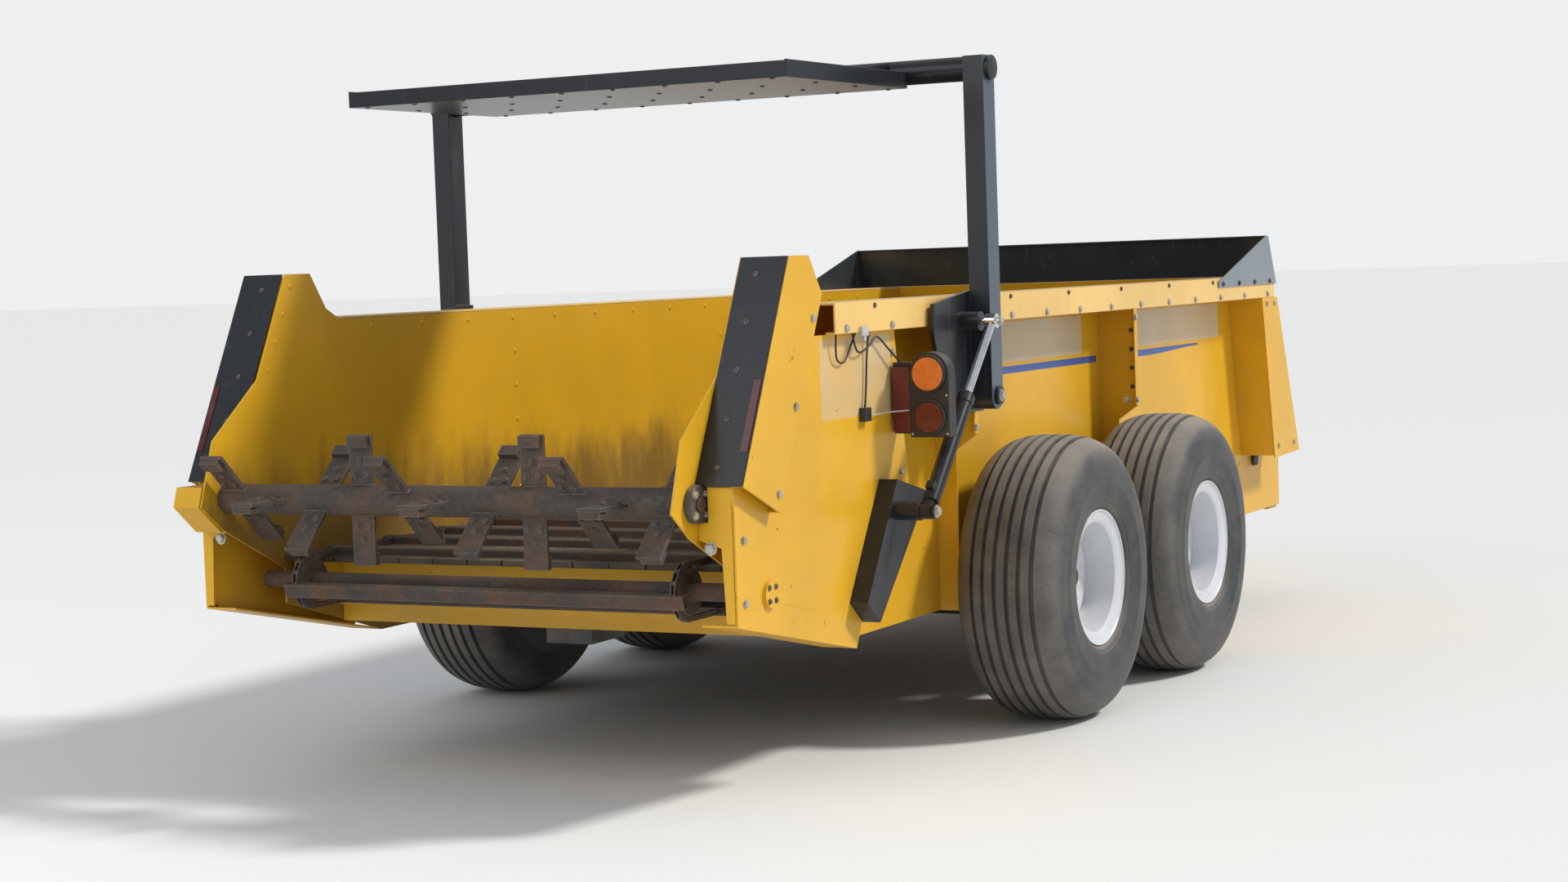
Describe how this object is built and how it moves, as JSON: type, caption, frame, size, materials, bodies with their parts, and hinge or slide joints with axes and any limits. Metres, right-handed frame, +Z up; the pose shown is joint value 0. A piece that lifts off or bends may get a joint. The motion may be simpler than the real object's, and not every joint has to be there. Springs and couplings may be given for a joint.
{
  "type": "manure spreader",
  "caption": "Towed box spreader with a slatted floor apron, a rear beater, tandem wheels and a hydraulic endgate on two lift arms.",
  "frame": {"origin": "on the ground under the middle of the length and width", "axes": "+X forward to the hitch, +Y to the left side, +Z up"},
  "size_m": [7.8578, 2.9, 2.4899],
  "materials": {
    "yellow": "semi-gloss enamel, dusty",
    "black": "semi-gloss enamel, dusty",
    "white": "gloss enamel, dusty",
    "tyre": "dusty rubber",
    "dark_steel": "worn and soiled steel",
    "steel": "bright rod steel",
    "floor_wood": "soiled floor boards",
    "guard": "moulded guard",
    "amber": "moulded lens",
    "red": "moulded lens"
  },
  "bodies": {
    "chassis": {"axle": "black", "tandem_beam_left": "black", "tandem_beam_right": "black", "side_sheet_left": "yellow", "side_sheet_right": "yellow", "top_rail_left": "yellow", "top_rail_right": "yellow", "stakes_left": "yellow", "stakes_right": "yellow", "front_wall": "yellow", "front_extension": "black", "floor_deck": "floor_wood", "frame_sills": "yellow", "cross_members": "yellow", "return_guides": "yellow", "rear_beam": "yellow", "side_plate_left": "yellow", "side_plate_right": "yellow", "rear_post_left": "yellow", "rear_post_right": "yellow", "rear_strips": "black", "rear_gussets": "yellow", "arm_bracket_left": "black", "arm_bracket_right": "black", "cylinder_bracket_left": "black", "cylinder_bracket_right": "black", "beater_bearings": "dark_steel", "drive_shield": "yellow", "apron": "dark_steel", "apron_shafts": "dark_steel", "line_shaft": "black", "gearboxes": "dark_steel", "drawbar": "yellow", "jack_tube": "black", "pto_guard": "guard", "lamp_housings": "black", "lamp_lenses_amber": "amber", "lamp_lenses_red": "red"},
    "wheel_front_left": {"tyre_front_left": "tyre", "rim_front_left": "white"},
    "wheel_front_right": {"tyre_front_right": "tyre", "rim_front_right": "white"},
    "wheel_rear_left": {"tyre_rear_left": "tyre", "rim_rear_left": "white"},
    "wheel_rear_right": {"tyre_rear_right": "tyre", "rim_rear_right": "white"},
    "endgate": {"lift_arm_left": "black", "lift_arm_right": "black", "cross_tube": "black", "gate_panel": "black"},
    "cylinder_left": {"barrel_left": "black"},
    "piston_left": {"rod_left": "steel"},
    "cylinder_right": {"barrel_right": "black"},
    "piston_right": {"rod_right": "steel"},
    "beater": {"beater": "dark_steel"},
    "pto": {"pto_shaft": "steel"},
    "jack": {"jack_leg": "steel"}
  },
  "joints": [
    {"name": "wheel_front_left_spin", "type": "hinge", "parent": "chassis", "child": "wheel_front_left", "pos_m": [-0.269, 1.24, 0.54], "axis": [0, 1, 0], "continuous": true},
    {"name": "wheel_front_right_spin", "type": "hinge", "parent": "chassis", "child": "wheel_front_right", "pos_m": [-0.269, -1.24, 0.54], "axis": [0, 1, 0], "continuous": true},
    {"name": "wheel_rear_left_spin", "type": "hinge", "parent": "chassis", "child": "wheel_rear_left", "pos_m": [-1.509, 1.24, 0.54], "axis": [0, 1, 0], "continuous": true},
    {"name": "wheel_rear_right_spin", "type": "hinge", "parent": "chassis", "child": "wheel_rear_right", "pos_m": [-1.509, -1.24, 0.54], "axis": [0, 1, 0], "continuous": true},
    {"name": "endgate_swing", "type": "hinge", "parent": "chassis", "child": "endgate", "pos_m": [-1.939, 0, 1.255], "axis": [0, -1, 0], "range_deg": [0, 64]},
    {"name": "cylinder_left_pivot", "type": "hinge", "parent": "chassis", "child": "cylinder_left", "pos_m": [-2.659, 1.247, 0.9], "axis": [0, -1, 0], "range_deg": [-5.61, 0.4]},
    {"name": "piston_left_slide", "type": "slide", "parent": "cylinder_left", "child": "piston_left", "axis": [0.6897, 0, 0.7241], "range_m": [-0.3146, 0.002]},
    {"name": "cylinder_right_pivot", "type": "hinge", "parent": "chassis", "child": "cylinder_right", "pos_m": [-2.659, -1.247, 0.9], "axis": [0, -1, 0], "range_deg": [-5.61, 0.4]},
    {"name": "piston_right_slide", "type": "slide", "parent": "cylinder_right", "child": "piston_right", "axis": [0.6897, 0, 0.7241], "range_m": [-0.3146, 0.002]},
    {"name": "beater_spin", "type": "hinge", "parent": "chassis", "child": "beater", "pos_m": [-3.709, 0, 1.02], "axis": [0, 1, 0], "continuous": true},
    {"name": "pto_spin", "type": "hinge", "parent": "chassis", "child": "pto", "pos_m": [3.111, 0, 0.7], "axis": [1, 0, 0], "continuous": true},
    {"name": "jack_leg_slide", "type": "slide", "parent": "chassis", "child": "jack", "axis": [0, 0, 1], "range_m": [0, 0.35]}
  ],
  "couplings": [
    {"joint": "cylinder_left_pivot", "follows": "endgate_swing", "ratio": -0.0814},
    {"joint": "piston_left_slide", "follows": "endgate_swing", "m_per_rad": -0.279},
    {"joint": "cylinder_right_pivot", "follows": "endgate_swing", "ratio": -0.0814},
    {"joint": "piston_right_slide", "follows": "endgate_swing", "m_per_rad": -0.279},
    {"joint": "pto_spin", "follows": "beater_spin", "ratio": 1.5}
  ]
}
